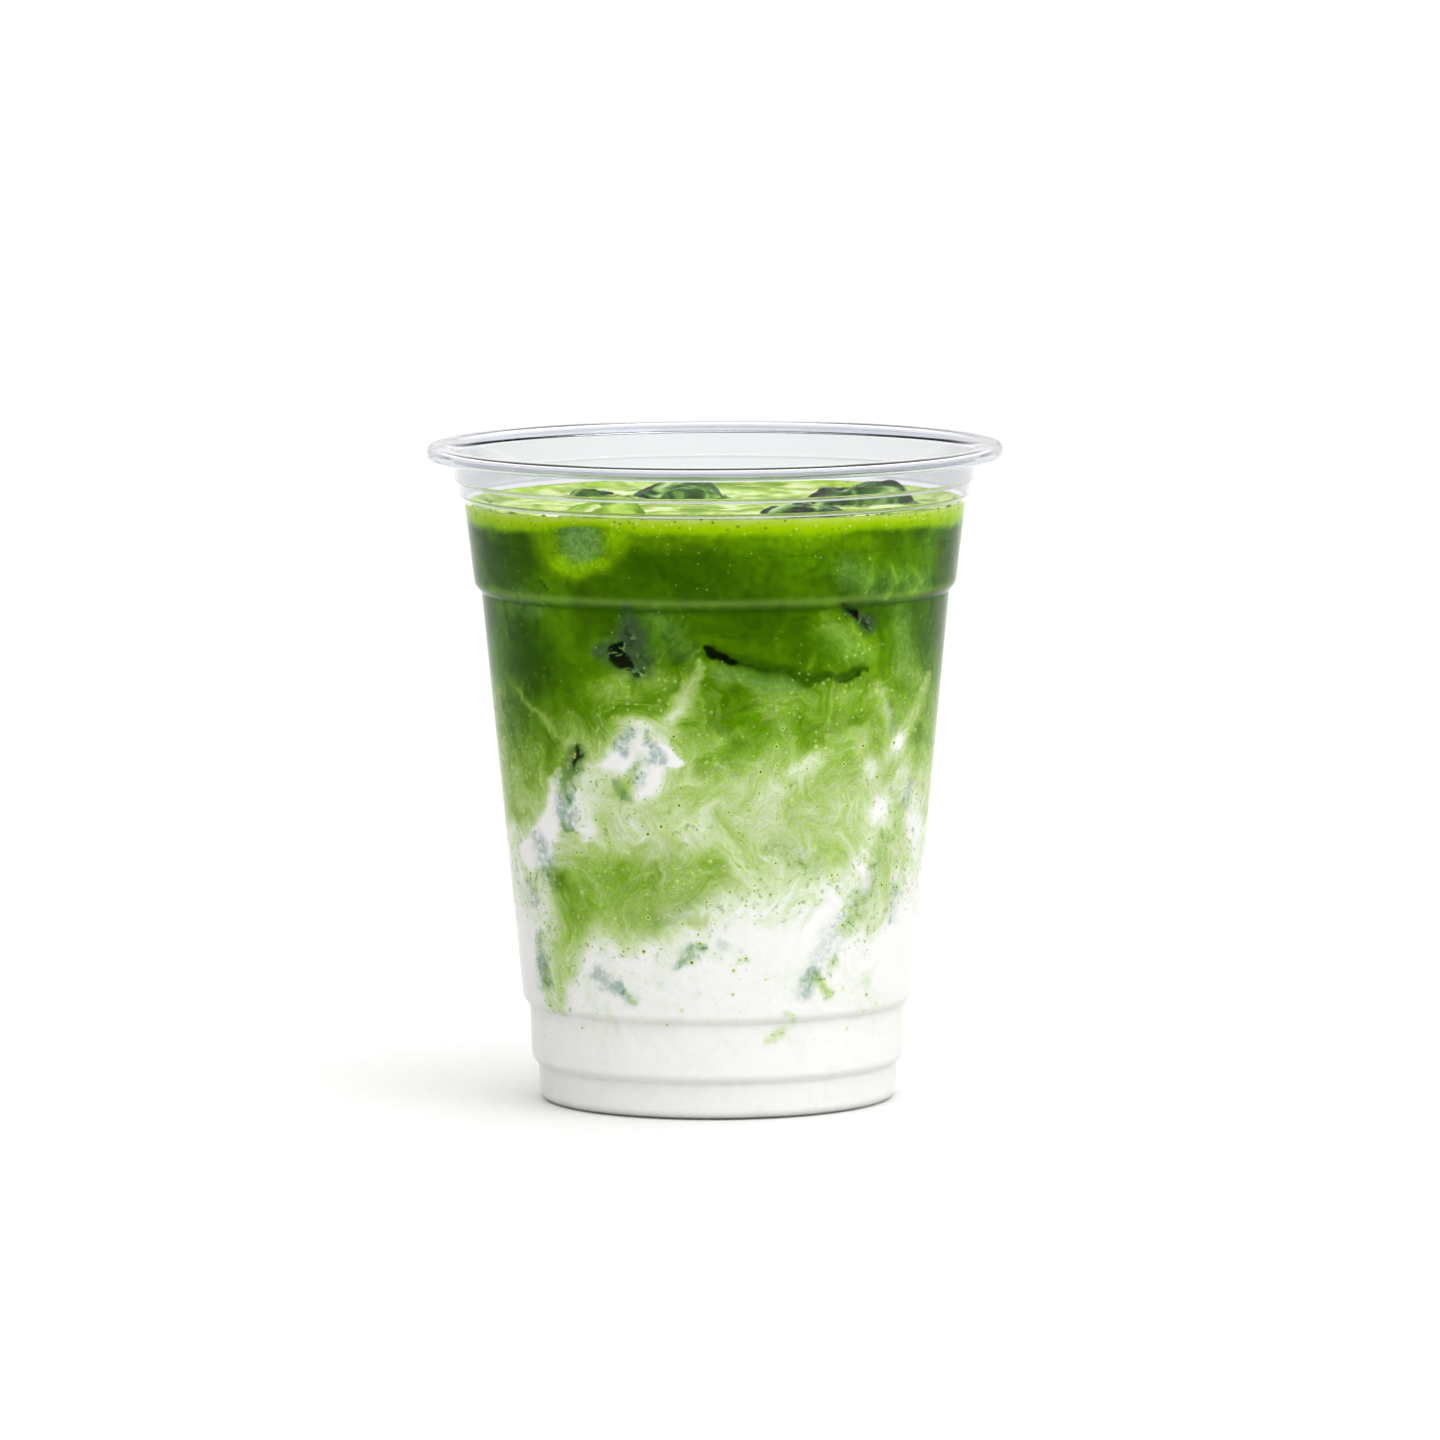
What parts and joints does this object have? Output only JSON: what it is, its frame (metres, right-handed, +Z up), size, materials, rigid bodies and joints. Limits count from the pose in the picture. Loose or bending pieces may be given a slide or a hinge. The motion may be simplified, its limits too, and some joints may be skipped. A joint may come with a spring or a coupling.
{
  "type": "iced matcha latte in a clear cup",
  "caption": "Iced matcha latte in a clear cold-drink cup with a rolled rim: milk below, green matcha above, a thin froth and floating ice.",
  "frame": {"origin": "centre of the foot, on the surface the cup stands on", "axes": "+Z up along the cup's axis, -Y towards the front as pictured, +X to the right as pictured"},
  "size_m": [0.098, 0.098, 0.1118],
  "materials": {
    "cup_plastic": "clear thermoformed sheet, glossy",
    "milk": "opaque liquid, satin",
    "matcha": "opaque liquid, satin",
    "froth": "fine bubbles, matt",
    "ice": "wet half-melted ice, glossy"
  },
  "bodies": {
    "root": {"cup": "cup_plastic", "milk": "milk", "matcha": "matcha", "froth": "froth", "ice_middle": "ice", "ice_right": "ice", "ice_front_right": "ice", "ice_front_left": "ice", "ice_small": "ice"}
  },
  "joints": []
}
